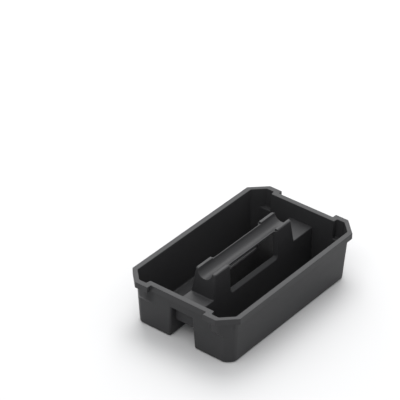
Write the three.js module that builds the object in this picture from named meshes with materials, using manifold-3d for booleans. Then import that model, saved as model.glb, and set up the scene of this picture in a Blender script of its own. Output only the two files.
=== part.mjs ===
// Tool storage caddy: an open two-bin tray with a raised centre handle, moulded in one plastic.
// Millimetres. +X runs along the length, +Y across it, +Z up. The origin is the middle of the footprint.
// The moulding is divided along its own members, and neighbouring members keep a gap of GAP.
import * as THREE from 'three';
import { mergeVertices } from 'three/addons/utils/BufferGeometryUtils.js';
import Module from 'manifold-3d';

const wasm = await Module();
wasm.setup();

// ---- driving dimensions ----
const GAP = 0.3;
const WALL = 3.0;
const FLOOR = 2.7;
const DRAFT = 0.05; // body walls lean out by this much per millimetre of height

// rim: a flat flange with a down-turned skirt, stepped out at the four corners
const RIM_TOP = 94;
const FLANGE_THICKNESS = 3;
const SKIRT_DEPTH = 10.9;
const SKIRT_WALL = 2.8;
const CAP_HALF_LENGTH = 180;
const END_RAIL_HALF_LENGTH = 171.4;
const RIM_HALF_WIDTH = 108.75;
const CAP_STEP_Y = 55.5;
const CAP_CHAMFER = 28;
const RIM_INNER_X = 160.9;
const RIM_INNER_Y = 99.5;
const SIDE_RAIL_HALF_LENGTH = 148;

// body under the rim
const BODY_HALF_LENGTH = 164.4;
const BODY_HALF_WIDTH = 102.2;
const BODY_CHAMFER = 12.5;
const BODY_TOP = RIM_TOP - FLANGE_THICKNESS - GAP;

// corner pockets: the end wall steps out beside each chamfer, above a small ledge
const POCKET_STEP_Y = 65;
const POCKET_INNER_X = 170;
const POCKET_LEDGE_Z = 60;
const POCKET_LEDGE_X = 167.2;
const POCKET_OUTER_X = 173;
const POCKET_SHOULDER_Z = 60;
const POCKET_SHOULDER_X = 170;
const POCKET_FOOT_Z = 50;
const POCKET_INBOARD_X = 159.4; // the pocket wall takes over from the end wall here

// centre spine: a hollow ridge with a shelf at each end
const SHELF_TOP = 65;
const SHELF_UNDERSIDE = SHELF_TOP - WALL;
const SPINE_HALF_WIDTH = 23; // at the shelf
const SPINE_SLOPE = 0.067;
const SPINE_WALL = 2.5;
const RIB_X = 149;
const RIB_FOOT_Z = 31;

// handle block
const BLOCK_FOOT_X = 110;
const BLOCK_TOP_X = 102.5;
const EAR_TOP = 108.5;
const GRIP_TOP = 106.2;
const TROUGH_RADIUS = 13.8;
const GRIP_OUTER_RADIUS = 16;
const HAND_HALF_LENGTH = 65;
const LIP_FOOT_Z = 53;
const LIP_BEVEL = 6;
const UNDER_TROUGH_RADIUS = 17;
const SHELF_END_X = 110.8;
const TROUGH_SEGMENTS = 32;

const PAST = 200; // a length that reaches past the whole part, for cuts

// ---- finishes: every member is the same charcoal polypropylene ----
const CHARCOAL = 0x3a3a3b;
const finish = () => new THREE.MeshStandardMaterial({ color: CHARCOAL, roughness: 0.55, metalness: 0 });

// ---- shape helpers ----
const spineOuter = (z) => SPINE_HALF_WIDTH + (SHELF_TOP - z) * SPINE_SLOPE;
const spineInner = (z) => spineOuter(z) - SPINE_WALL;
const bodyX = (z) => BODY_HALF_LENGTH - (RIM_TOP - z) * DRAFT;
const bodyY = (z) => BODY_HALF_WIDTH - (RIM_TOP - z) * DRAFT;

// A closed skin through outlines of equal point count, each [x, y] list at its own height, lowest first.
function loft(levels) {
  const count = levels[0].outline.length;
  const positions = levels.flatMap(({ z, outline }) => outline.flatMap(([x, y]) => [x, y, z]));
  const contour = levels[0].outline.map(([x, y]) => new THREE.Vector2(x, y));
  const caps = THREE.ShapeUtils.triangulateShape(contour, []);
  const top = (levels.length - 1) * count;
  const index = caps.flatMap(([a, b, c]) => [c, b, a, top + a, top + b, top + c]);
  for (let level = 0; level < levels.length - 1; level++) {
    for (let i = 0; i < count; i++) {
      const a = level * count + i;
      const b = level * count + ((i + 1) % count);
      index.push(a, b, b + count, a, b + count, a + count);
    }
  }
  const geometry = new THREE.BufferGeometry();
  geometry.setAttribute('position', new THREE.Float32BufferAttribute(positions, 3));
  geometry.setIndex(index);
  return geometry;
}

function prism(outline, z0, z1) {
  const shape = new THREE.Shape(outline.map(([x, y]) => new THREE.Vector2(x, y)));
  return new THREE.ExtrudeGeometry(shape, { depth: z1 - z0, bevelEnabled: false }).translate(0, 0, z0);
}

function box(x0, x1, y0, y1, z0, z1) {
  const middle = [(x0 + x1) / 2, (y0 + y1) / 2, (z0 + z1) / 2];
  return new THREE.BoxGeometry(x1 - x0, y1 - y0, z1 - z0).translate(...middle);
}

// A bar along X whose section is an outline of [y, z] points.
function bar(section, x0, x1) {
  const turn = new THREE.Matrix4().makeBasis(
    new THREE.Vector3(0, 1, 0), new THREE.Vector3(0, 0, 1), new THREE.Vector3(1, 0, 0));
  return prism(section, x0, x1).applyMatrix4(turn);
}

function solid(geometry) {
  const plain = geometry.clone();
  plain.deleteAttribute('normal');
  plain.deleteAttribute('uv');
  const merged = mergeVertices(plain, 1e-4);
  return new wasm.Manifold(new wasm.Mesh({
    numProp: 3,
    vertProperties: new Float32Array(merged.attributes.position.array),
    triVerts: new Uint32Array(merged.index.array),
  }));
}

function skin(manifold) {
  const mesh = manifold.getMesh();
  const geometry = new THREE.BufferGeometry();
  geometry.setAttribute('position', new THREE.BufferAttribute(mesh.vertProperties, 3));
  geometry.setIndex(new THREE.BufferAttribute(mesh.triVerts, 1));
  geometry.computeVertexNormals();
  return geometry;
}

// The same skin mirrored across X and/or Y, with its faces kept pointing out.
function mirrored(geometry, sideX, sideY) {
  const copy = geometry.clone().scale(sideX, sideY, 1);
  if (sideX * sideY < 0) {
    const index = copy.index.array;
    for (let i = 0; i < index.length; i += 3) [index[i], index[i + 1]] = [index[i + 1], index[i]];
  }
  copy.computeVertexNormals();
  return copy;
}

const caddy = new THREE.Group();

function place(name, geometry) {
  const mesh = new THREE.Mesh(geometry, finish());
  mesh.name = name;
  caddy.add(mesh);
}

const ENDS = [['left', -1], ['right', 1]];
const SIDES = [['near', -1], ['far', 1]];

// ---- bins ----
// Outline of the bin on the +Y side, shrunk by inset; chamfered at its two outer corners.
function binOutline(z, inset, spineY) {
  const x = bodyX(z) - inset;
  const y = bodyY(z) - inset;
  const cut = BODY_CHAMFER - inset * (2 - Math.SQRT2);
  return [[-x, spineY], [x, spineY], [x, y - cut], [x - cut, y], [-x + cut, y], [-x, y - cut]];
}

function bin() {
  const tub = (heights, inset, spineY) => solid(loft(
    heights.map((z) => ({ z, outline: binOutline(z, inset, spineY(z)) }))));
  const spineTop = spineOuter(SHELF_UNDERSIDE) + GAP;
  const stepY = POCKET_STEP_Y - WALL - GAP;
  const rooms = [
    box(-PAST, PAST, 0, spineTop, SHELF_UNDERSIDE - GAP, PAST),
    box(-HAND_HALF_LENGTH, HAND_HALF_LENGTH, 0, spineOuter(0), LIP_FOOT_Z - GAP, PAST),
    ...ENDS.map(([, sideX]) => mirrored(
      box(POCKET_INBOARD_X - GAP, PAST, stepY, PAST, POCKET_FOOT_Z - GAP, PAST), sideX, 1)),
  ];
  const shell = tub([0, BODY_TOP], 0, spineInner).subtract(tub([FLOOR, RIM_TOP], WALL, spineOuter));
  return skin(rooms.reduce((left, room) => left.subtract(solid(room)), shell));
}

const farBin = bin();
for (const [side, sideY] of SIDES) place(`${side}_bin`, mirrored(farBin, 1, sideY));

// ---- corner pockets ----
// The chamfer faces of the body carry on past the pocket, so every outline ends on the same 45 degree line.
function pocketOutline(inboardX, x, stepY, chamferSum) {
  return [[inboardX, stepY], [x, stepY], [x, chamferSum - x], [inboardX, chamferSum - inboardX]];
}

function cornerPocket() {
  const chamferAt = (z) => bodyX(z) + bodyY(z) - BODY_CHAMFER;
  const innerChamferAt = (z) => chamferAt(z) - WALL * Math.SQRT2;
  const stepY = POCKET_STEP_Y - WALL;
  const room = (z, x, y) => ({ z, outline: pocketOutline(BODY_HALF_WIDTH, x, y, innerChamferAt(z)) });
  const outer = solid(loft([
    { z: POCKET_FOOT_Z, x: bodyX(POCKET_FOOT_Z) },
    { z: POCKET_SHOULDER_Z, x: POCKET_SHOULDER_X },
    { z: BODY_TOP, x: POCKET_OUTER_X },
  ].map(({ z, x }) => ({ z, outline: pocketOutline(POCKET_INBOARD_X, x, stepY, chamferAt(z)) }))));
  const above = solid(loft([room(POCKET_LEDGE_Z, POCKET_LEDGE_X, POCKET_STEP_Y),
    room(RIM_TOP, POCKET_INNER_X, POCKET_STEP_Y)]));
  const below = solid(loft([POCKET_FOOT_Z - WALL, POCKET_LEDGE_Z].map((z) => room(z, bodyX(z) - WALL, 0))));
  return skin(outer.subtract(above).subtract(below));
}

const pocket = cornerPocket();
for (const [side, sideY] of SIDES) {
  for (const [end, sideX] of ENDS) place(`${side}_${end}_corner_pocket`, mirrored(pocket, sideX, sideY));
}

// ---- rim: one ring, divided into four corner caps, two side rails and two end rails ----
function rimOutline(railX, capX, halfWidth, stepY, chamfer) {
  const quarter = [[railX, stepY], [capX, stepY], [capX, halfWidth - chamfer], [capX - chamfer, halfWidth]];
  const turned = [...quarter].reverse();
  return [
    ...quarter,
    ...turned.map(([x, y]) => [-x, y]),
    ...quarter.map(([x, y]) => [-x, -y]),
    ...turned.map(([x, y]) => [x, -y]),
  ];
}

const innerChamfer = POCKET_INNER_X + RIM_INNER_Y
  - (BODY_HALF_LENGTH + BODY_HALF_WIDTH - BODY_CHAMFER - WALL * Math.SQRT2);
const skirtChamfer = CAP_CHAMFER - SKIRT_WALL * (2 - Math.SQRT2);
const ring = solid(prism(rimOutline(END_RAIL_HALF_LENGTH, CAP_HALF_LENGTH, RIM_HALF_WIDTH, CAP_STEP_Y,
  CAP_CHAMFER), RIM_TOP - SKIRT_DEPTH, RIM_TOP))
  .subtract(solid(prism(rimOutline(RIM_INNER_X, POCKET_INNER_X, RIM_INNER_Y, POCKET_STEP_Y, innerChamfer),
    0, PAST)))
  .subtract(solid(prism(rimOutline(END_RAIL_HALF_LENGTH - SKIRT_WALL, CAP_HALF_LENGTH - SKIRT_WALL,
    RIM_HALF_WIDTH - SKIRT_WALL, CAP_STEP_Y + SKIRT_WALL, skirtChamfer), 0, RIM_TOP - FLANGE_THICKNESS)));

const stretch = (...limits) => skin(ring.intersect(solid(box(...limits, 0, PAST))));
const cap = stretch(SIDE_RAIL_HALF_LENGTH + GAP, PAST, CAP_STEP_Y, PAST);
const sideRail = stretch(-SIDE_RAIL_HALF_LENGTH, SIDE_RAIL_HALF_LENGTH, 0, PAST);
const endRail = stretch(0, PAST, -CAP_STEP_Y + GAP, CAP_STEP_Y - GAP);
for (const [side, sideY] of SIDES) {
  for (const [end, sideX] of ENDS) place(`${side}_${end}_corner_cap`, mirrored(cap, sideX, sideY));
  place(`${side}_rim_rail`, mirrored(sideRail, 1, sideY));
}
for (const [end, sideX] of ENDS) place(`${end}_end_rail`, mirrored(endRail, sideX, 1));

// ---- centre spine: end bridge, shelf and tunnel rib at each end ----
const bridgeHalfWidth = spineOuter(SHELF_UNDERSIDE);
const bridge = loft([SHELF_UNDERSIDE, BODY_TOP].map((z) => {
  const x = bodyX(z);
  return { z, outline: [[x - WALL, -bridgeHalfWidth], [x, -bridgeHalfWidth], [x, bridgeHalfWidth],
    [x - WALL, bridgeHalfWidth]] };
}));
const shelf = box(SHELF_END_X, bodyX(SHELF_UNDERSIDE) - WALL - GAP, -SPINE_HALF_WIDTH,
  SPINE_HALF_WIDTH, SHELF_UNDERSIDE, SHELF_TOP);
const rib = loft([RIB_FOOT_Z, SHELF_UNDERSIDE - GAP].map((z) => {
  const y = spineInner(z) - GAP;
  return { z, outline: [[RIB_X - SPINE_WALL, -y], [RIB_X, -y], [RIB_X, y], [RIB_X - SPINE_WALL, y]] };
}));
for (const [end, sideX] of ENDS) {
  place(`${end}_end_bridge`, mirrored(bridge, sideX, 1));
  place(`${end}_shelf`, mirrored(mergeVertices(shelf), sideX, 1));
  place(`${end}_tunnel_rib`, mirrored(rib, sideX, 1));
}

// ---- handle: two hollow posts with raised ears, the grip trough between them, and two opening lips ----
function blockOutline(z, inset) {
  const rise = (z - SHELF_TOP) / (EAR_TOP - SHELF_TOP);
  const x = BLOCK_FOOT_X + (BLOCK_TOP_X - BLOCK_FOOT_X) * rise - inset;
  const y = spineOuter(z) - inset;
  const start = HAND_HALF_LENGTH + GAP - inset;
  return [[start, -y], [x, -y], [x, y], [start, y]];
}

function arc(radius, from, to) {
  return Array.from({ length: TROUGH_SEGMENTS + 1 }, (_, i) => {
    const angle = from + ((to - from) * i) / TROUGH_SEGMENTS;
    return [radius * Math.cos(angle), EAR_TOP + radius * Math.sin(angle)];
  });
}

function post() {
  const block = (heights, inset) => solid(loft(
    heights.map((z) => ({ z, outline: blockOutline(z, inset) }))));
  const channel = (radius) => solid(bar(
    [...arc(radius, -Math.PI, 0), [radius, PAST], [-radius, PAST]], 0, PAST));
  const hollow = block([SHELF_UNDERSIDE - WALL, EAR_TOP], WALL).subtract(channel(UNDER_TROUGH_RADIUS));
  return skin(block([SHELF_UNDERSIDE, EAR_TOP], 0).subtract(hollow).subtract(channel(TROUGH_RADIUS)));
}

const rightPost = post();
for (const [end, sideX] of ENDS) place(`${end}_handle_post`, mirrored(rightPost, sideX, 1));

const lipAngle = (radius) => Math.asin((EAR_TOP - GRIP_TOP) / radius);
const gripSection = [
  ...arc(GRIP_OUTER_RADIUS, -Math.PI + lipAngle(GRIP_OUTER_RADIUS), -lipAngle(GRIP_OUTER_RADIUS)),
  ...arc(TROUGH_RADIUS, -lipAngle(TROUGH_RADIUS), -Math.PI + lipAngle(TROUGH_RADIUS)),
];
place('handle_grip', bar(gripSection, -HAND_HALF_LENGTH, HAND_HALF_LENGTH));

// Hand opening lip: the spine's side wall turns in at 45 degrees along the sill and up both ends.
// A leaning strip's outline or section starts at (along, across) and runs in by LIP_BEVEL each way.
function leaningStrip(along, across, direction) {
  const thickness = SPINE_WALL / Math.SQRT2;
  return [
    [across, along],
    [across - LIP_BEVEL, along + direction * LIP_BEVEL],
    [across - LIP_BEVEL - thickness, along + direction * (LIP_BEVEL - thickness)],
    [across - SPINE_WALL, along],
  ];
}

function handLip() {
  const sill = solid(bar(leaningStrip(LIP_FOOT_Z, spineOuter(LIP_FOOT_Z), 1), -HAND_HALF_LENGTH,
    HAND_HALF_LENGTH));
  const upright = loft([LIP_FOOT_Z, EAR_TOP].map((z) => (
    { z, outline: leaningStrip(HAND_HALF_LENGTH, spineOuter(z), -1).map(([y, x]) => [x, y]) })));
  const uprights = ENDS.map(([, sideX]) => solid(mirrored(upright, sideX, 1)));
  const clearOfGrip = solid(bar([...arc(GRIP_OUTER_RADIUS + GAP, -Math.PI, 0),
    [GRIP_OUTER_RADIUS + GAP, PAST], [-GRIP_OUTER_RADIUS - GAP, PAST]], -PAST, PAST));
  return skin(sill.add(uprights[0]).add(uprights[1]).subtract(clearOfGrip));
}

const farLip = handLip();
for (const [side, sideY] of SIDES) place(`${side}_hand_lip`, mirrored(farLip, 1, sideY));

export default caddy;
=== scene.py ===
"""Tool storage caddy: a two-bin tray with a raised centre handle, moulded in charcoal polypropylene.

Lengths are in millimetres while a surface is worked out, and in metres once it is a mesh.
+X runs along the tray, +Y across it, +Z up. Each piece covers one member of the moulding, and
neighbouring pieces meet edge to edge, so that the tray reads as the single moulding that it is.
"""

import math

import bmesh
import bpy
import numpy as np
from mathutils import Euler, Matrix, Vector


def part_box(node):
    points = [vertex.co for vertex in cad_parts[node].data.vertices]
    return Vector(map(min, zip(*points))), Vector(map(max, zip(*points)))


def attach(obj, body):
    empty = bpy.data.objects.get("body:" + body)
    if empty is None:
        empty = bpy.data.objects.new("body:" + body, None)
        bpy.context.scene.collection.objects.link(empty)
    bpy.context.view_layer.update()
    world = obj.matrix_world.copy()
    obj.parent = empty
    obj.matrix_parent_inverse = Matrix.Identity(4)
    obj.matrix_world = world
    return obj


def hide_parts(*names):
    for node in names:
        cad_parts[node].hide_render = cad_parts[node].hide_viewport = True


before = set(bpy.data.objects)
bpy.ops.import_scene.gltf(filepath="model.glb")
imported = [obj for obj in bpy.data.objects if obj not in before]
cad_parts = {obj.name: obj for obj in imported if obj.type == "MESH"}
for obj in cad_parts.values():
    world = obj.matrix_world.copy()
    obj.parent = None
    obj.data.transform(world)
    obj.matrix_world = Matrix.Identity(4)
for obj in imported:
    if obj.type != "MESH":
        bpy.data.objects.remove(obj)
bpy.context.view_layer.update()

bl_info = {
    "name": "Tool Storage Caddy",
    "version": (1, 0, 0),
    "blender": (4, 5, 0),
    "location": "View3D > Sidebar > Caddy",
    "description": "Builds a moulded two-bin tool caddy and a plain studio round it",
    "category": "Object",
}

MM = 0.001
LOW, HIGH = 0, 1
X, Y, Z = 0, 1, 2


def reach(node, end, axis):
    """How far a frame node reaches, in millimetres: its low or high end along one axis."""
    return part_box(node)[end][axis] / MM


# ---- sizes that the frame sets ----
RIM_TOP = reach("far_rim_rail", HIGH, Z)
SKIRT_FOOT = reach("far_rim_rail", LOW, Z)
RIM_HALF_WIDTH = reach("far_rim_rail", HIGH, Y)
SIDE_RAIL_HALF_LENGTH = reach("far_rim_rail", HIGH, X)
CAP_HALF_LENGTH = reach("far_right_corner_cap", HIGH, X)
CAP_STEP_Y = reach("far_right_corner_cap", LOW, Y)
END_RAIL_HALF_LENGTH = reach("right_end_rail", HIGH, X)
SHELF_TOP = reach("right_shelf", HIGH, Z)
SHELF_UNDERSIDE = reach("right_shelf", LOW, Z)
EAR_TOP = reach("right_handle_post", HIGH, Z)
GRIP_TOP = reach("handle_grip", HIGH, Z)
HAND_HALF_LENGTH = reach("handle_grip", HIGH, X)
LIP_FOOT_Z = reach("far_hand_lip", LOW, Z)
RIB_X = reach("right_tunnel_rib", HIGH, X)
RIB_FOOT_Z = reach("right_tunnel_rib", LOW, Z)

# ---- sizes of the moulding that the frame's boxes don't give ----
FLANGE = 3.0
SKIRT_WALL = 2.8
CAP_CHAMFER = 28.0
BODY_HALF_LENGTH = 164.4
BODY_HALF_WIDTH = 102.2
BODY_CHAMFER = 12.5
FLANGE_UNDERSIDE = RIM_TOP - FLANGE
DRAFT = 0.05
FLOOR = 2.7
POCKET_STEP_Y = 65.0
POCKET_LEDGE_Z = 60.0
POCKET_LEDGE_X = 167.2
POCKET_TOP_X = 170.0
POCKET_BULGE = 7.3
SPINE_HALF_WIDTH = 23.0
SPINE_SLOPE = 0.067
SPINE_WALL = 2.5
BLOCK_FOOT_X = 110.0
BLOCK_TOP_X = 102.5
BLOCK_END_WALL = 3.0
TROUGH_RADIUS = 13.8
GRIP_OUTER_RADIUS = 16.0
HOLLOW_RADIUS = 17.0
HOLLOW_TOP = EAR_TOP - 8.0
LIP_BEVEL = 6.0
LIP_HEAD_Z = EAR_TOP - 2.8
INNER_CORNER = 1.2  # radius of the hollow post's inner upright corners

# ---- how finely surfaces are divided ----
CORNER_STEPS = 6
FOOT_STEPS = 5
MIDDLE = CORNER_STEPS // 2
PER_CORNER = CORNER_STEPS + 1
LEAST_CUT = 0.02
SHARP_ANGLE = math.radians(33)


class CaddySizes(bpy.types.PropertyGroup):
    """Sizes of the moulding that can change without moving any member."""

    wall: bpy.props.FloatProperty(
        name="Wall", description="Thickness of the bin walls", default=3.0 * MM, min=2.0 * MM,
        max=3.6 * MM, subtype="DISTANCE", unit="LENGTH")
    foot_radius: bpy.props.FloatProperty(
        name="Foot radius", description="Rounding along the bottom outer edges", default=4.5 * MM,
        min=1.0 * MM, max=8.0 * MM, subtype="DISTANCE", unit="LENGTH")
    floor_radius: bpy.props.FloatProperty(
        name="Floor radius", description="Fillet between the bin floor and its walls", default=2.6 * MM,
        min=0.5 * MM, max=6.0 * MM, subtype="DISTANCE", unit="LENGTH")
    mouth_radius: bpy.props.FloatProperty(
        name="Mouth radius", description="Rounding of the upright corners at the tunnel mouth",
        default=4.0 * MM, min=1.0 * MM, max=6.0 * MM, subtype="DISTANCE", unit="LENGTH")
    rim_radius: bpy.props.FloatProperty(
        name="Rim radius", description="Rounding along the rim's top edges", default=0.9 * MM,
        min=0.2 * MM, max=2.0 * MM, subtype="DISTANCE", unit="LENGTH")
    block_radius: bpy.props.FloatProperty(
        name="Block radius", description="Rounding of the handle block's upright corners",
        default=4.8 * MM, min=1.0 * MM, max=5.0 * MM, subtype="DISTANCE", unit="LENGTH")
    ear_radius: bpy.props.FloatProperty(
        name="Ear radius", description="Rounding along the top of the handle block", default=2.4 * MM,
        min=0.4 * MM, max=2.6 * MM, subtype="DISTANCE", unit="LENGTH")
    opening_radius: bpy.props.FloatProperty(
        name="Opening radius", description="Rounding of the hand opening's lower corners",
        default=8.0 * MM, min=7.0 * MM, max=14.0 * MM, subtype="DISTANCE", unit="LENGTH")


class CaddyFinish(bpy.types.PropertyGroup):
    """Colours and surface of the plastic, and the studio's light."""

    plastic: bpy.props.StringProperty(
        name="Plastic", description="Body colour, as an sRGB hex value", default="2a2a2b")
    plastic_light: bpy.props.StringProperty(
        name="Plastic, light", description="Lighter end of the colour's variation", default="303031")
    rubbed: bpy.props.StringProperty(
        name="Rubbed", description="Colour where the plastic is rubbed pale", default="484849")
    grain: bpy.props.FloatProperty(
        name="Grain", description="Size of the spark-eroded grain", default=0.8 * MM, min=0.2 * MM,
        max=3.0 * MM, subtype="DISTANCE", unit="LENGTH")
    roughness: bpy.props.FloatProperty(
        name="Roughness", description="Roughness of the textured walls", default=0.5, min=0.2, max=0.9,
        subtype="FACTOR")
    floor_colour: bpy.props.StringProperty(
        name="Floor", description="Studio floor colour, as an sRGB hex value", default="cacaca")
    key_power: bpy.props.FloatProperty(
        name="Key light", description="Power of the overhead softbox", default=36.0, min=0.0, unit="POWER")
    back_power: bpy.props.FloatProperty(
        name="Back light", description="Power of the softbox behind the tray", default=26.0, min=0.0,
        unit="POWER")
    front_power: bpy.props.FloatProperty(
        name="Front light", description="Power of the high softbox over the left end", default=14.0,
        min=0.0, unit="POWER")
    sky: bpy.props.FloatProperty(
        name="Fill", description="Strength of the even light from all round", default=1.0, min=0.0)


def sizes():
    """The size settings in millimetres, by name."""
    group = bpy.context.scene.caddy_sizes
    return {key: getattr(group, key) / MM for key in CaddySizes.__annotations__}


# ---- heights and slopes of the moulding ----
def body_x(z):
    """Outer half length of the body: it leans out by DRAFT for each millimetre of height."""
    return BODY_HALF_LENGTH - (RIM_TOP - z) * DRAFT


def body_y(z):
    """Outer half width of the body, with the same lean."""
    return BODY_HALF_WIDTH - (RIM_TOP - z) * DRAFT


def spine_outer(z):
    """Half width of the spine at a height, on the side that faces the bins."""
    return SPINE_HALF_WIDTH + (SHELF_TOP - z) * SPINE_SLOPE


def spine_inner(z):
    """Half width of the tunnel under the spine."""
    return spine_outer(z) - SPINE_WALL


def block_x(z):
    """Where the handle block's sloping end face stands at a height."""
    return BLOCK_FOOT_X + (BLOCK_TOP_X - BLOCK_FOOT_X) * (z - SHELF_TOP) / (EAR_TOP - SHELF_TOP)


def quarter_turn(steps):
    """Angles from nought to a right angle."""
    return np.linspace(0, math.pi / 2, steps + 1)


# ---- surface makers ----
def outline(corners, cuts, inset=0.0):
    """A closed outline, anticlockwise, moved inwards by inset, with an arc for each corner.

    A corner moves along its mitre. Its arc is the conic from one cut length before the corner to one
    after it, whose middle weight is the cosine of half the turn, which makes it part of a circle.
    """
    corner = np.asarray(corners, float)
    along = np.roll(corner, -1, 0) - corner
    along /= np.linalg.norm(along, axis=1, keepdims=True)
    before = np.roll(along, 1, 0)
    turn = before[:, :1] * along[:, 1:] - before[:, 1:] * along[:, :1]
    straight = (before * along).sum(1, keepdims=True)
    both = before + along
    corner = corner + inset * np.stack([-both[:, 1], both[:, 0]], 1) / (1 + straight)
    cut = np.maximum(np.asarray(cuts, float)[:, None] - inset * turn / (1 + straight), LEAST_CUT)
    weight = np.sqrt((1 + straight) / 2)
    t = np.linspace(0, 1, CORNER_STEPS + 1)[:, None, None]
    first, middle, last = (1 - t) ** 2, 2 * t * (1 - t) * weight, t ** 2
    arc = first * (corner - before * cut) + middle * corner + last * (corner + along * cut)
    return (arc / (first + middle + last)).transpose(1, 0, 2).reshape(-1, 2)


def raised(flat, z):
    """Points of a flat outline at a height."""
    return np.column_stack([flat, np.full(len(flat), z)])


def shell(outer, inner, present=None, closed=False, floored=False):
    """A wall between two skins, each a grid of rows and columns of points.

    Only the cells that are present are made. Along every edge between a present cell and an absent
    one, or the grid's border, a strip joins the skins. A floored shell has a flat face across the
    first row of each skin instead of a strip there.
    """
    rows, columns = outer.shape[:2]
    across = columns if closed else columns - 1
    if present is None:
        present = np.ones((rows - 1, across), bool)
    index = np.arange(rows * columns).reshape(rows, columns)
    if closed:
        index = np.hstack([index, index[:, :1]])
    far = index + rows * columns

    def cells(grid):
        return np.stack([grid[:-1, :-1], grid[:-1, 1:], grid[1:, 1:], grid[1:, :-1]], -1)

    padded = np.pad(present, ((1, 1), (0, 0)))
    above, below = padded[1:] & ~padded[:-1], padded[:-1] & ~padded[1:]
    if floored:
        above[0] = False
    a, b, c, d = index[:, :-1], index[:, 1:], far[:, 1:], far[:, :-1]
    quads = [cells(index)[present], cells(far)[present][:, ::-1],
             np.stack([b, a, d, c], -1)[above], np.stack([a, b, c, d], -1)[below]]
    right = present if closed else np.pad(present, ((0, 0), (0, 1)))
    left = np.roll(present, 1, 1) if closed else np.pad(present, ((0, 0), (1, 0)))
    edges = right.shape[1]
    a, b, c, d = index[:-1, :edges], index[1:, :edges], far[1:, :edges], far[:-1, :edges]
    quads += [np.stack([a, b, c, d], -1)[right & ~left], np.stack([b, a, d, c], -1)[left & ~right]]
    faces = np.concatenate(quads).tolist()
    if floored:
        faces += [index[0, :columns][::-1].tolist(), far[0, :columns].tolist()]
    return np.concatenate([outer.reshape(-1, 3), inner.reshape(-1, 3)]), faces


def loft(rings):
    """A skin through closed rings of points, one after another, with a flat face over each end."""
    rings = np.asarray(rings, float)
    count, points = rings.shape[:2]
    index = np.arange(count * points).reshape(count, points)
    wrapped = np.hstack([index, index[:, :1]])
    quads = np.stack([wrapped[:-1, :-1], wrapped[:-1, 1:], wrapped[1:, 1:], wrapped[1:, :-1]], -1)
    ends = [index[0, ::-1].tolist(), index[-1].tolist()]
    return rings.reshape(-1, 3), quads.reshape(-1, 4).tolist() + ends


def make_piece(node, surface, finish, side_x=1, side_y=1):
    """Makes the piece that stands for one frame node, mirrored where a side is -1.

    Points that fall together are merged, faces are turned outwards by the sign of the volume, and an
    open edge is an error. Flat faces keep their own shading where they meet a fillet.
    """
    points, faces = surface
    name = f"{node}_moulding"
    mesh = bpy.data.meshes.new(name)
    mesh.from_pydata(points * np.array([side_x, side_y, 1]) * MM, [], faces)
    shape = bmesh.new()
    shape.from_mesh(mesh)
    bmesh.ops.remove_doubles(shape, verts=shape.verts, dist=2e-6)
    loose = [vertex for vertex in shape.verts if not vertex.link_faces]
    bmesh.ops.delete(shape, geom=loose, context="VERTS")
    if shape.calc_volume(signed=True) < 0:
        bmesh.ops.reverse_faces(shape, faces=shape.faces)
    open_edges = sum(not edge.is_manifold for edge in shape.edges)
    if open_edges:
        raise RuntimeError(f"{name} has {open_edges} open or doubled edges")
    shape.to_mesh(mesh)
    shape.free()
    mesh.shade_smooth()
    mesh.set_sharp_from_angle(angle=SHARP_ANGLE)
    mesh.materials.append(finish)
    piece = bpy.data.objects.new(name, mesh)
    bpy.context.scene.collection.objects.link(piece)
    even = piece.modifiers.new("even_shading", "WEIGHTED_NORMAL")
    even.keep_sharp = True
    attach(piece, "root")
    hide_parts(node)


ENDS = (("left", -1), ("right", 1))
SIDES = (("near", -1), ("far", 1))


# ---- bins and corner pockets: one wall, divided between two kinds of piece ----
# Corners of a bin's outline, by index: where the pocket starts and ends, the left spine corner, and the
# two beside the hand opening.
F_CORNER, M_CORNER, SPINE_LEFT, LIP_LEFT, LIP_RIGHT = 1, 5, 13, 14, 15
BORDER_ON_CHAMFER_X = 154.2
BIN_CORNERS = 14  # of a bin's outline, without the two beside the hand opening
STEP_MARGIN_INSIDE, STEP_MARGIN_OUTSIDE = 7.0, 11.0
STEP_LEAN_INSIDE, STEP_LEAN_OUTSIDE = 0.75, 4.5
STEP_CUT_INSIDE, STEP_CUT_OUTSIDE = 1.5, 4.0
CHAMFER_CUT_INSIDE, CHAMFER_CUT_OUTSIDE = 1.6, 4.5
# Heights of the rows where the pockets start, the lip and shelf cut in, and the bridge takes over.
POCKET_ROW, LIP_ROW, SHELF_ROW, BRIDGE_ROW = 50.0, 53.0, 62.0, 64.8
# Each row of the wall is (outer height, outer bulge, inner height, inner pocket depth). The bulge and
# the depth are shares of their full size. Inside, the pocket's ledge is a jump; outside, it swells softly.
WALL_ROWS = np.array([
    (30.0, 0.0, 30.0, 0.0), (50.0, 0.0, 50.0, 0.0), (51.5, 0.04, 51.5, 0.0), (53.0, 0.14, 53.0, 0.0),
    (54.6, 0.3, 58.4, 0.0), (56.2, 0.48, 59.3, 0.03), (57.8, 0.66, 60.0, 0.13), (59.2, 0.8, 60.0, 0.82),
    (60.4, 0.89, 60.4, 0.95), (61.3, 0.95, 61.3, 1.0), (62.0, 0.98, 62.0, 1.0), (64.8, 1.0, 64.8, 1.0),
    (78.0, 1.0, 78.0, 1.0), (91.0, 1.0, 91.0, 1.0)])


def pocket_depth(z, inside):
    """How far the pocket's back wall stands out from the end wall, inside or outside."""
    if inside:
        slope = (POCKET_TOP_X - POCKET_LEDGE_X) / (RIM_TOP - POCKET_LEDGE_Z)
        return POCKET_LEDGE_X + (z - POCKET_LEDGE_Z) * slope - body_x(z) + sizes()["wall"]
    return POCKET_BULGE + (z - POCKET_LEDGE_Z) * DRAFT


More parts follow.
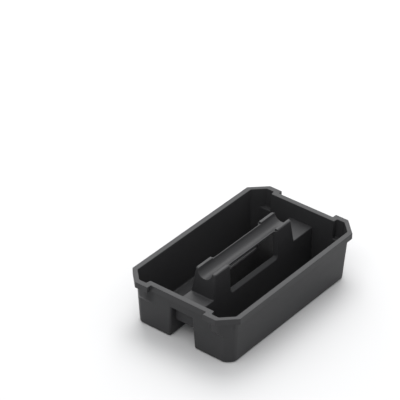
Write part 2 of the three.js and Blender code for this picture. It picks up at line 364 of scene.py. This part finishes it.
def bin_corners(z, share, inside):
    """Corners of a bin's outline and their cuts, round from the spine at the right end.

    The end wall steps out at the pocket and runs on to the chamfer's 45 degree line, so the chamfer
    is only shortened there.
    """
    size = sizes()
    wall = size["wall"] if inside else 0.0
    x, y = body_x(z) - wall, body_y(z) - wall
    spine = spine_outer(z) if inside else spine_inner(z)
    line = x + y - BODY_CHAMFER + wall * (2 - math.sqrt(2))
    depth = share * pocket_depth(z, inside)
    step = POCKET_STEP_Y if inside else POCKET_STEP_Y - size["wall"]
    lean = STEP_LEAN_INSIDE if inside else STEP_LEAN_OUTSIDE
    margin = STEP_MARGIN_INSIDE if inside else STEP_MARGIN_OUTSIDE
    right = [(x, spine), (x, step - margin), (x, step - lean), (x + depth, step + lean),
             (x + depth, line - x - depth), (BORDER_ON_CHAMFER_X, line - BORDER_ON_CHAMFER_X), (line - y, y)]
    left = [(-a, b) for a, b in reversed(right)]
    side = min(STEP_CUT_INSIDE if inside else STEP_CUT_OUTSIDE, 0.45 * math.hypot(depth, 2 * lean))
    vertex = CHAMFER_CUT_INSIDE if inside else CHAMFER_CUT_OUTSIDE
    spine_cut = size["mouth_radius"] - SPINE_WALL if inside else size["mouth_radius"]
    cuts = [spine_cut, 0.5, side, side, vertex, 0.4, vertex]
    corners = right + left + [(-HAND_HALF_LENGTH, spine), (HAND_HALF_LENGTH, spine)]
    return corners, cuts + cuts[::-1] + [1.0, 1.0]


def bin_ring(z, share, inside, inset=0.0):
    """One ring of a bin's wall."""
    return raised(outline(*bin_corners(z, share, inside), inset), z)


def bin_skins():
    """Outer and inner skins of a bin: quarter-round rows up from the floor, then the wall's rows."""
    size = sizes()
    turns = quarter_turn(FOOT_STEPS)

    def foot(radius, base, inside):
        return [bin_ring(base + radius * (1 - math.cos(a)), 0, inside, radius * (1 - math.sin(a)))
                for a in turns]

    outer = foot(size["foot_radius"], 0.0, False) + [bin_ring(z, s, False) for z, s, _, _ in WALL_ROWS]
    inner = foot(size["floor_radius"], FLOOR, True) + [bin_ring(z, s, True) for _, _, z, s in WALL_ROWS]
    return np.array(outer), np.array(inner)


def bin_cells(outer):
    """Which cells belong to the bin and which to its left and right pockets.

    The wall stops below the shelf along the spine, below the lip at the hand opening, and where the
    end bridge takes over; the pockets take the upper part of the end walls beside the chamfers.
    """
    rows, columns = outer.shape[:2]
    wall_start = FOOT_STEPS + 1
    row = {z: wall_start + int(np.argmin(abs(WALL_ROWS[:, 0] - z)))
           for z in (POCKET_ROW, LIP_ROW, SHELF_ROW, BRIDGE_ROW)}
    low = np.arange(rows - 1)[:, None]
    column = np.arange(columns)[None, :]

    def between(first, last):
        return (column >= first) & (column < last)

    arcs = between(0, CORNER_STEPS) | between(SPINE_LEFT * PER_CORNER, SPINE_LEFT * PER_CORNER + CORNER_STEPS)
    side = column >= SPINE_LEFT * PER_CORNER + CORNER_STEPS
    hand = between(LIP_LEFT * PER_CORNER + MIDDLE, LIP_RIGHT * PER_CORNER + MIDDLE)
    gone = arcs & (low >= row[BRIDGE_ROW]) | side & (low >= row[SHELF_ROW]) | hand & (low >= row[LIP_ROW])
    upper = low >= row[POCKET_ROW]
    right = upper & between(F_CORNER * PER_CORNER + MIDDLE, M_CORNER * PER_CORNER + MIDDLE)
    left = upper & between((BIN_CORNERS - 1 - M_CORNER) * PER_CORNER + MIDDLE,
                           (BIN_CORNERS - 1 - F_CORNER) * PER_CORNER + MIDDLE)
    return ~gone & ~right & ~left, left, right


# ---- rim: one section carried round the ring, then cut into caps and rails ----
def rim_paths(z):
    """Corners of the rim's outer and inner paths with their cuts, paired corner by corner."""
    corners, cuts = bin_corners(z, 1, True)
    inner = corners[2:5] + [corners[6], (SIDE_RAIL_HALF_LENGTH, corners[6][1])]
    inner_cuts = cuts[2:5] + [cuts[6], 1.0]
    outer = [(END_RAIL_HALF_LENGTH, CAP_STEP_Y), (CAP_HALF_LENGTH, CAP_STEP_Y),
             (CAP_HALF_LENGTH, RIM_HALF_WIDTH - CAP_CHAMFER), (CAP_HALF_LENGTH - CAP_CHAMFER, RIM_HALF_WIDTH),
             (SIDE_RAIL_HALF_LENGTH, RIM_HALF_WIDTH)]
    outer_cuts = [0.6, 1.0, 1.2, 1.2, 1.0]

    def ring(quarter, lengths):
        turned = quarter[::-1]
        points = quarter + [(-x, y) for x, y in turned] + [(-x, -y) for x, y in quarter]
        return points + [(x, -y) for x, y in turned], (lengths + lengths[::-1]) * 2

    return ring(outer, outer_cuts), ring(inner, inner_cuts)


def rim_section():
    """The rim's section as (path, inset, height): skirt foot, rounded top edges, inner edge, underside."""
    r, under = sizes()["rim_radius"], 1.2
    turns = quarter_turn(3)
    top_edge = [("outer", r * (1 - math.cos(a)), RIM_TOP - r * (1 - math.sin(a))) for a in turns]
    inner_edge = [("inner", -r * (1 - math.sin(a)), RIM_TOP - r * (1 - math.cos(a))) for a in turns]
    fillet = [("outer", SKIRT_WALL + under * (1 - math.cos(a)),
               FLANGE_UNDERSIDE - under * (1 - math.sin(a))) for a in turns[::-1]]
    foot = SKIRT_FOOT
    return [("outer", 0.5, foot), ("outer", 0.15, foot + 0.15), ("outer", 0.0, foot + 0.5),
            *top_edge, *inner_edge, ("inner", 0.0, FLANGE_UNDERSIDE), *fillet,
            ("outer", SKIRT_WALL, foot + 0.5), ("outer", SKIRT_WALL - 0.15, foot + 0.15),
            ("outer", SKIRT_WALL - 0.5, foot)]


def rim_rings():
    """The whole ring as stations, each a closed section."""
    rows = []
    for path, inset, z in rim_section():
        outer, inner = rim_paths(z)
        corners, cuts = outer if path == "outer" else inner
        rows.append(raised(outline(corners, cuts, inset), z))
    return np.array(rows).transpose(1, 0, 2)


# ---- centre spine ----
def bridge_surface():
    """The end wall between the bins: a leaning slab whose sides follow the bins' corner tangents."""
    wall = sizes()["wall"]
    top, foot = FLANGE_UNDERSIDE, SHELF_UNDERSIDE
    turns = quarter_turn(3)
    section = [(body_x(top) - wall, top), (body_x(foot) - wall, foot)]
    section += [(body_x(foot) - 1 + math.sin(a), foot + 1 - math.cos(a)) for a in turns]
    section += [(body_x(top), top)]
    x, z = np.array(section).T
    half = spine_inner(z) + sizes()["mouth_radius"]
    return loft([np.column_stack([x, side * half, z]) for side in (1, -1)])


def shelf_surface():
    """The shelf: a slab across the spine with its two long top edges rounded."""
    r = 1.5
    turns = quarter_turn(4)
    edge = spine_outer(SHELF_TOP)
    right = [(spine_outer(SHELF_UNDERSIDE), SHELF_UNDERSIDE)]
    right += [(edge - r * (1 - math.cos(a)), SHELF_TOP - r * (1 - math.sin(a))) for a in turns]
    y, z = np.array(right + [(-a, b) for a, b in reversed(right)]).T
    start = np.full(len(y), BLOCK_FOOT_X - sizes()["block_radius"])
    return loft([np.column_stack([start, y, z]), np.column_stack([body_x(z) - sizes()["wall"], y, z])])


def rib_surface():
    """The tunnel rib: an upright plate with its foot edges rounded."""
    r = 0.8
    back = RIB_X - SPINE_WALL
    turns = quarter_turn(3)
    section = [(back, SHELF_UNDERSIDE), *[(back + r * (1 - math.cos(a)), RIB_FOOT_Z + r * (1 - math.sin(a)))
                                         for a in turns]]
    section += [(RIB_X - r * (1 - math.cos(a)), RIB_FOOT_Z + r * (1 - math.sin(a))) for a in turns[::-1]]
    x, z = np.array([*section, (RIB_X, SHELF_UNDERSIDE)]).T
    return loft([np.column_stack([x, side * spine_inner(z), z]) for side in (1, -1)])


# ---- handle ----
def saddle_profile():
    """The handle block's top across its width: points, outward directions and edge rounding.

    Ear top, a small round, the trough's half circle, then the same mirrored.
    """
    edge = 1.1
    corner = spine_outer(EAR_TOP) - sizes()["block_radius"]
    turns = quarter_turn(4)
    ear = np.column_stack([-TROUGH_RADIUS - edge + edge * np.sin(turns),
                           EAR_TOP - edge + edge * np.cos(turns)])
    ear_out = np.column_stack([np.sin(turns), np.cos(turns)])
    start = math.asin(edge / TROUGH_RADIUS)
    angle = np.linspace(math.pi + start, 2 * math.pi - start, 29)[1:-1]
    arc_out = -np.column_stack([np.cos(angle), np.sin(angle)])
    arc = -TROUGH_RADIUS * arc_out + [0, EAR_TOP]
    flat = np.array([[-corner, EAR_TOP]])
    mirror = np.array([-1, 1])
    points = np.vstack([flat, ear, arc, (ear * mirror)[::-1], flat * mirror])
    out = np.vstack([[[0, 1]], ear_out, arc_out, (ear_out * mirror)[::-1], [[0, 1]]])
    radius = np.full(len(points), 1.0)
    radius[[0, -1]] = sizes()["ear_radius"]
    radius[[1, -2]] = 1.2
    return points, out, radius


def corner_arc(z, inset, radius, half_width, end_x):
    """The block's upright corner on the -Y side as a quarter circle, from the side to the end face."""
    turns = quarter_turn(CORNER_STEPS)
    reach_in = max(radius - inset, 0.05)
    x = end_x - radius + reach_in * np.sin(turns)
    y = -half_width + radius - reach_in * np.cos(turns)
    return np.column_stack([x, y, np.broadcast_to(z, turns.shape)])


def with_mirror(start, arc, face):
    """A row of the block's skin: side start, corner arc, end face, and the first two mirrored."""
    turn = np.array([1, -1, 1])
    return np.vstack([start, arc, face, (arc * turn)[::-1], start * turn])


def post_surface():
    """The right handle post: a hollow block open towards the hand opening.

    Rows go up its sides and end face, round the top edge, then back along the trough to the opening.
    """
    size = sizes()
    radius, ear = size["block_radius"], size["ear_radius"]
    top, out, edge = saddle_profile()
    under = top - out * edge[:, None]
    under_trough = np.sqrt(np.maximum(HOLLOW_RADIUS ** 2 - top[:, 0] ** 2, (EAR_TOP - HOLLOW_TOP) ** 2))
    hollow_z = np.minimum(EAR_TOP - under_trough, HOLLOW_TOP)
    inner_half = spine_outer(HOLLOW_TOP) - SPINE_WALL
    hollow_y = top[:, 0] * (inner_half - INNER_CORNER) / (spine_outer(EAR_TOP) - radius)
    foot = 1.5
    flare = [(SHELF_TOP + foot * (1 - math.cos(a)), foot * (1 - math.sin(a))) for a in quarter_turn(4)]
    base = SHELF_TOP + foot
    outer, inner = [], []

    def row(z, z_face, y_face, shift=0.0):
        end = block_x(z) + shift
        face = np.column_stack([block_x(z_face) + shift, y_face, z_face])
        start = np.array([[HAND_HALF_LENGTH, -spine_outer(z), z]])
        return with_mirror(start, corner_arc(z, 0.0, radius, spine_outer(z), end), face)

    def inner_row(z, z_face, y_face):
        side = spine_outer(z) - SPINE_WALL
        face = np.column_stack([block_x(z_face) - BLOCK_END_WALL, y_face, z_face])
        start = np.array([[HAND_HALF_LENGTH, -side, z]])
        return with_mirror(start, corner_arc(z, 0.0, INNER_CORNER, side, block_x(z) - BLOCK_END_WALL), face)

    def widen(y, z, half):
        return y * (spine_outer(z) - half) / (spine_outer(EAR_TOP) - half)

    heights = [(SHELF_UNDERSIDE, 0.0, 0.0), *[(z, shift, 0.0) for z, shift in flare],
               (base, 0.0, 0.5), (base, 0.0, 1.0)]
    for z, shift, share in heights:
        face_z = z + (under[:, 1] - base) * share if share else np.full(len(top), z)
        y = widen(under[:, 0], z, radius) * (1 - share) + under[:, 0] * share
        side_z = z + (EAR_TOP - ear - base) * share
        outer.append(row(side_z, face_z, y, shift))
        face_z = z + (hollow_z - base) * share if share else np.full(len(top), z)
        inner.append(inner_row(z + (HOLLOW_TOP - base) * share, face_z, hollow_y))
    outer[0][2:-2, 2] = SHELF_UNDERSIDE + 0.6
    inner[0][2:-2, 2] = SHELF_UNDERSIDE + 0.6
    for a in quarter_turn(4)[1:]:
        shrink, drop = 1 - math.cos(a), 1 - math.sin(a)
        at = top - out * (edge * drop)[:, None]
        face = np.column_stack([block_x(at[:, 1]) - edge * shrink, at])
        z = EAR_TOP - ear * drop
        start = np.array([[HAND_HALF_LENGTH, -spine_outer(z) + ear * shrink, z]])
        arc = corner_arc(z, ear * shrink, radius, spine_outer(z), block_x(z))
        outer.append(with_mirror(start, arc, face))
        inner.append(inner[-1])
    for rows in (outer, inner):
        last = rows[-1].copy()
        last[:, 0] = HAND_HALF_LENGTH
        rows.append(last)
    return shell(np.array(outer), np.array(inner))


def grip_surface():
    """The grip: a half pipe with rounded lips, carried straight from post to post."""
    lip = (GRIP_OUTER_RADIUS - TROUGH_RADIUS) / 2
    middle = TROUGH_RADIUS + lip
    start = math.asin((EAR_TOP - GRIP_TOP + lip) / middle)
    angle = np.linspace(math.pi + start, 2 * math.pi - start, 33)
    ray = np.column_stack([np.cos(angle), np.sin(angle)])
    turns = np.linspace(0, math.pi, 9)[1:-1]
    tip = np.column_stack([lip * np.cos(turns), lip * np.sin(turns)])
    right = tip + middle * ray[-1]
    left = tip + middle * ray[0]
    section = np.vstack([GRIP_OUTER_RADIUS * ray, right, TROUGH_RADIUS * ray[::-1], left]) + [0, EAR_TOP]
    stations = np.linspace(-HAND_HALF_LENGTH, HAND_HALF_LENGTH, 9)
    return loft([np.column_stack([np.full(len(section), x), section]) for x in stations])


def lip_surface():
    """The far hand opening's lip: a strip leaning in at 45 degrees, carried down one end of the
    opening, along the sill and up the other end, with a flat web filling the square corners.

    Where the strip would pass into the grip it stops inside the grip's wall.
    """
    radius = sizes()["opening_radius"]
    turns = quarter_turn(8)
    centre = np.array([HAND_HALF_LENGTH - radius, LIP_FOOT_Z + radius])
    climb = np.linspace(LIP_HEAD_Z, centre[1], 9)[:-1]
    upright = np.column_stack([np.full(len(climb), HAND_HALF_LENGTH), climb])
    bend_ray = np.column_stack([np.cos(turns), -np.sin(turns)])
    path = np.vstack([upright, centre + radius * bend_ray])
    square = np.vstack([upright, centre + radius * bend_ray / abs(bend_ray).max(1, keepdims=True)])
    inward = np.vstack([np.tile([-1.0, 0.0], (len(climb), 1)), -bend_ray])
    mirror = np.array([-1, 1])
    path, square, inward = (np.vstack([a, (a * mirror)[::-1]]) for a in (path, square, inward))
    bevel, back = LIP_BEVEL, SPINE_WALL / math.sqrt(2)
    section = np.array([(0.0, 0.0), (0.5, 0.12), (1.0, 0.4), (1.5, 0.9), (bevel - 0.5, bevel - 0.9),
                        (bevel - 0.15, bevel - 0.4), (bevel - 0.1, bevel + 0.1),
                        (bevel - back + 0.1, bevel + back - 0.1), (bevel - back - 0.4, bevel + back - 0.15),
                        (1.2, SPINE_WALL + 0.9), (0.5, SPINE_WALL + 0.3), (0.0, SPINE_WALL)])
    flat = path[:, None] + section[None, :, :1] * inward[:, None]
    flat = np.concatenate([square[:, None], flat, square[:, None]], 1)
    depth = np.concatenate([[0.0], section[:, 1], [SPINE_WALL]])
    y = spine_outer(flat[..., 1]) - depth
    wall_middle = (GRIP_OUTER_RADIUS + TROUGH_RADIUS) / 2
    y = np.maximum(y, np.sqrt(np.maximum(wall_middle ** 2 - (EAR_TOP - flat[..., 1]) ** 2, 0.0)))
    return loft(np.stack([flat[..., 0], y, flat[..., 1]], -1))


# ---- finishes ----
def linear(value):
    """An sRGB hex value as a linear colour with full opacity."""
    channels = np.array([int(value[i:i + 2], 16) for i in (0, 2, 4)]) / 255
    return (*np.where(channels > 0.04045, ((channels + 0.055) / 1.055) ** 2.4, channels / 12.92), 1.0)


def add(tree, kind, links=(), values=(), **settings):
    """Adds a node with its settings, its input values and its (input, output socket) links."""
    node = tree.nodes.new(kind)
    for name, value in settings.items():
        setattr(node, name, value)
    for name, value in values:
        node.inputs[name].default_value = value
    for name, socket in links:
        tree.links.new(socket, node.inputs[name])
    return node


def polypropylene(name, roughness_shift=0.0, grain_height=0.03, rub_height=None, rub_share=0.0):
    """Injection-moulded polypropylene, charcoal, from a spark-eroded mould.

    To the eye: a satin, even dark grey, with a fine sandy grain that spreads its highlights, faint
    clouds of colour and gloss where the melt flowed, and slightly paler, smoother plastic where
    the tray is rubbed. rub_height is (start, end) in metres of the height over which rubbing sets in.
    """
    finish = bpy.context.scene.caddy_finish
    material = bpy.data.materials.new(name)
    material.use_nodes = True
    tree = material.node_tree
    tree.nodes.clear()
    place = add(tree, "ShaderNodeTexCoord").outputs["Object"]
    # The real grain is about 0.3 mm. It is drawn about 0.8 mm, as fine as a near view can show.
    grain = add(tree, "ShaderNodeTexNoise", [("Vector", place)],
                [("Scale", 1 / finish.grain), ("Detail", 3.0), ("Roughness", 0.62)])
    # Melt flow: long clouds along the tray, 90 mm by 25 mm.
    stretched = add(tree, "ShaderNodeMapping", [("Vector", place)], [("Scale", (0.28, 1.0, 1.0))])
    flow = add(tree, "ShaderNodeTexNoise", [("Vector", stretched.outputs[0])],
               [("Scale", 1 / 0.025), ("Detail", 4.0), ("Roughness", 0.55), ("Distortion", 0.6)])
    # Small marks from handling, a few millimetres across.
    marks = add(tree, "ShaderNodeTexNoise", [("Vector", place)],
                [("Scale", 1 / 0.006), ("Detail", 5.0), ("Roughness", 0.7)])
    tone = add(tree, "ShaderNodeMix", [("Factor", flow.outputs["Fac"])], data_type="RGBA")
    tone.inputs["A"].default_value = linear(finish.plastic)
    tone.inputs["B"].default_value = linear(finish.plastic_light)
    colour = tone.outputs["Result"]
    if rub_height:
        height = add(tree, "ShaderNodeSeparateXYZ", [("Vector", place)]).outputs["Z"]
        band = add(tree, "ShaderNodeMapRange", [("Value", height)],
                   [("From Min", rub_height[0]), ("From Max", rub_height[1]), ("To Max", rub_share)])
        patch = add(tree, "ShaderNodeMapRange", [("Value", marks.outputs["Fac"])],
                    [("From Min", 0.45), ("From Max", 0.75)])
        amount = add(tree, "ShaderNodeMath", [(0, band.outputs[0]), (1, patch.outputs[0])],
                     operation="MULTIPLY")
        rubbed = add(tree, "ShaderNodeMix", [("Factor", amount.outputs[0]), ("A", colour)], data_type="RGBA")
        rubbed.inputs["B"].default_value = linear(finish.rubbed)
        colour = rubbed.outputs["Result"]
    gloss = add(tree, "ShaderNodeMapRange", [("Value", flow.outputs["Fac"])],
                [("From Min", 0.3), ("From Max", 0.7), ("To Min", finish.roughness + roughness_shift - 0.03),
                 ("To Max", finish.roughness + roughness_shift + 0.03)])
    bump = add(tree, "ShaderNodeBump", [("Height", grain.outputs["Fac"])],
               [("Strength", 0.5), ("Distance", grain_height * MM)])
    shader = add(tree, "ShaderNodeBsdfPrincipled",
                 [("Base Color", colour), ("Roughness", gloss.outputs[0]), ("Normal", bump.outputs[0])],
                 [("IOR", 1.49), ("Specular IOR Level", 0.26)])
    add(tree, "ShaderNodeOutputMaterial", [("Surface", shader.outputs[0])])
    return material


def finish_named(kind):
    """The finish for a kind of member, made the first time that it is asked for."""
    kinds = {
        # Walls straight from the textured mould, scuffed a little where the tray stands.
        "textured_polypropylene_walls": {"rub_height": (0.004, 0.0), "rub_share": 0.5},
        # The rim is gripped and stacked on, so it is a touch smoother, with rubbed patches on top.
        "rubbed_polypropylene_rim": {"roughness_shift": -0.03, "rub_height": (0.0932, 0.094),
                                     "rub_share": 0.12},
        # The handle is polished by hands: finer grain, more gloss.
        "handled_polypropylene_grip": {"roughness_shift": -0.05, "grain_height": 0.02,
                                       "rub_height": ((EAR_TOP - 2.5) * MM, EAR_TOP * MM),
                                       "rub_share": 0.12},
    }
    return bpy.data.materials.get(kind) or polypropylene(kind, **kinds[kind])


WALLS, RIM, HANDLE = "textured_polypropylene_walls", "rubbed_polypropylene_rim", "handled_polypropylene_grip"


# ---- operators ----
class CADDY_OT_bins(bpy.types.Operator):
    """Makes the two bins and the four corner pockets in their end walls"""

    bl_idname = "caddy.bins"
    bl_label = "Bins and corner pockets"

    def execute(self, context):
        outer, inner = bin_skins()
        body, left, right = bin_cells(outer)
        for side, side_y in SIDES:
            surface = shell(outer, inner, body, closed=True, floored=True)
            make_piece(f"{side}_bin", surface, finish_named(WALLS), 1, side_y)
            for end, cells in (("left", left), ("right", right)):
                surface = shell(outer, inner, cells, closed=True)
                make_piece(f"{side}_{end}_corner_pocket", surface, finish_named(WALLS), 1, side_y)
        return {"FINISHED"}


class CADDY_OT_rim(bpy.types.Operator):
    """Makes the rim's four corner caps, two side rails and two end rails"""

    bl_idname = "caddy.rim"
    bl_label = "Rim"

    def execute(self, context):
        rings = rim_rings()
        first, middle, last = 0, MIDDLE, CORNER_STEPS
        cuts = [("far_right_corner_cap", (0, first), (4, middle)),
                ("far_rim_rail", (4, middle), (5, middle)),
                ("far_left_corner_cap", (5, middle), (9, last)),
                ("left_end_rail", (9, last), (10, first)),
                ("near_left_corner_cap", (10, first), (14, middle)),
                ("near_rim_rail", (14, middle), (15, middle)),
                ("near_right_corner_cap", (15, middle), (19, last)),
                ("right_end_rail", (19, last), (20, first))]
        for node, (corner, sample), (end_corner, end_sample) in cuts:
            span = np.arange(corner * PER_CORNER + sample, end_corner * PER_CORNER + end_sample + 1)
            make_piece(node, loft(rings[span % len(rings)]), finish_named(RIM))
        return {"FINISHED"}


class CADDY_OT_spine(bpy.types.Operator):
    """Makes the end bridge, the shelf and the tunnel rib at each end of the spine"""

    bl_idname = "caddy.spine"
    bl_label = "Spine"

    def execute(self, context):
        for end, side_x in ENDS:
            make_piece(f"{end}_end_bridge", bridge_surface(), finish_named(WALLS), side_x)
            make_piece(f"{end}_shelf", shelf_surface(), finish_named(WALLS), side_x)
            make_piece(f"{end}_tunnel_rib", rib_surface(), finish_named(WALLS), side_x)
        return {"FINISHED"}


class CADDY_OT_handle(bpy.types.Operator):
    """Makes the two handle posts, the grip and the lips of the hand opening"""

    bl_idname = "caddy.handle"
    bl_label = "Handle"

    def execute(self, context):
        for end, side_x in ENDS:
            make_piece(f"{end}_handle_post", post_surface(), finish_named(HANDLE), side_x)
        make_piece("handle_grip", grip_surface(), finish_named(HANDLE))
        for side, side_y in SIDES:
            make_piece(f"{side}_hand_lip", lip_surface(), finish_named(HANDLE), 1, side_y)
        return {"FINISHED"}


# Camera angles are in degrees, places and softbox sizes in metres, the lens in millimetres.
CAMERA_AZIMUTH = -52.595
CAMERA_ELEVATION = 33.674
CAMERA_ROLL = 1.181
CAMERA_PLACE = (-2.45488, -1.78558, 2.21213)
CAMERA_LENS = 205.38
SENSOR_WIDTH = 36.0
CAMERA_CLIP_END = 50.0
FLOOR_HALF = 12.0
LIGHT_TARGET = (0.0, 0.0, 0.05)
OVERHEAD_PLACE, OVERHEAD_SIZE = (0.7, 0.5, 2.2), (1.6, 1.6)
BACK_PLACE, BACK_SIZE = (2.0, 1.6, 1.75), (2.6, 1.5)
FRONT_PLACE, FRONT_SIZE = (-1.3, -0.3, 2.4), (1.4, 1.4)
SKY_COLOUR = (0.98, 0.985, 1.0, 1.0)


def softbox(name, place, size, power):
    """A rectangular softbox that faces the middle of the tray."""
    data = bpy.data.lights.new(name, "AREA")
    data.shape = "RECTANGLE"
    data.size, data.size_y = size
    data.energy = power
    lamp = bpy.data.objects.new(name, data)
    bpy.context.scene.collection.objects.link(lamp)
    lamp.location = place
    towards = Vector(LIGHT_TARGET) - Vector(place)
    lamp.rotation_euler = towards.to_track_quat("-Z", "Y").to_euler()


class CADDY_OT_stage(bpy.types.Operator):
    """Makes the pale floor, the softboxes, the even fill light and the camera"""

    bl_idname = "caddy.stage"
    bl_label = "Studio"

    def execute(self, context):
        finish = context.scene.caddy_finish
        paper = bpy.data.materials.new("matte_paper_floor")
        paper.use_nodes = True
        tree = paper.node_tree
        tree.nodes.clear()
        shader = add(tree, "ShaderNodeBsdfPrincipled", (), [("Base Color", linear(finish.floor_colour)),
                                                            ("Roughness", 0.9), ("Specular IOR Level", 0.1)])
        add(tree, "ShaderNodeOutputMaterial", [("Surface", shader.outputs[0])])
        mesh = bpy.data.meshes.new("studio_floor")
        half = FLOOR_HALF
        corners = [(-half, -half, 0), (half, -half, 0), (half, half, 0), (-half, half, 0)]
        mesh.from_pydata(corners, [], [(0, 1, 2, 3)])
        mesh.materials.append(paper)
        floor = bpy.data.objects.new("studio_floor", mesh)
        context.scene.collection.objects.link(floor)

        world = bpy.data.worlds.new("studio_fill")
        world.use_nodes = True
        world.node_tree.nodes.clear()
        sky = add(world.node_tree, "ShaderNodeBackground", (),
                  [("Color", SKY_COLOUR), ("Strength", finish.sky)])
        add(world.node_tree, "ShaderNodeOutputWorld", [("Surface", sky.outputs[0])])
        context.scene.world = world
        softbox("overhead_softbox", OVERHEAD_PLACE, OVERHEAD_SIZE, finish.key_power)
        softbox("back_softbox", BACK_PLACE, BACK_SIZE, finish.back_power)
        softbox("front_softbox", FRONT_PLACE, FRONT_SIZE, finish.front_power)

        data = bpy.data.cameras.new("studio_camera")
        data.lens = CAMERA_LENS
        data.sensor_width = SENSOR_WIDTH
        data.clip_end = CAMERA_CLIP_END
        camera = bpy.data.objects.new("studio_camera", data)
        camera.location = CAMERA_PLACE
        aim = Euler((math.radians(90 - CAMERA_ELEVATION), 0.0, math.radians(CAMERA_AZIMUTH)))
        roll = Matrix.Rotation(math.radians(CAMERA_ROLL), 3, "Z")
        camera.rotation_euler = (aim.to_matrix() @ roll).to_euler()
        context.scene.collection.objects.link(camera)
        context.scene.camera = camera
        context.scene.view_settings.view_transform = "Standard"
        return {"FINISHED"}


class CADDY_PT_panel(bpy.types.Panel):
    """Lists the caddy's settings and its makers"""

    bl_label = "Tool Storage Caddy"
    bl_idname = "CADDY_PT_panel"
    bl_space_type = "VIEW_3D"
    bl_region_type = "UI"
    bl_category = "Caddy"

    def draw(self, context):
        layout = self.layout
        scene = context.scene
        for group, owner in ((CaddySizes, scene.caddy_sizes), (CaddyFinish, scene.caddy_finish)):
            box = layout.box()
            for key in group.__annotations__:
                box.prop(owner, key)
        for maker in MAKERS:
            layout.operator(maker.bl_idname)


MAKERS = (CADDY_OT_stage, CADDY_OT_bins, CADDY_OT_rim, CADDY_OT_spine, CADDY_OT_handle)
CLASSES = (CaddySizes, CaddyFinish, *MAKERS, CADDY_PT_panel)


def register():
    for item in CLASSES:
        bpy.utils.register_class(item)
    bpy.types.Scene.caddy_sizes = bpy.props.PointerProperty(type=CaddySizes)
    bpy.types.Scene.caddy_finish = bpy.props.PointerProperty(type=CaddyFinish)


def unregister():
    del bpy.types.Scene.caddy_finish
    del bpy.types.Scene.caddy_sizes
    for item in reversed(CLASSES):
        bpy.utils.unregister_class(item)


def main():
    """Registers the add-on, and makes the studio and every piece."""
    register()
    bpy.ops.caddy.stage()
    bpy.ops.caddy.bins()
    bpy.ops.caddy.rim()
    bpy.ops.caddy.spine()
    bpy.ops.caddy.handle()


if __name__ == "__main__":
    main()
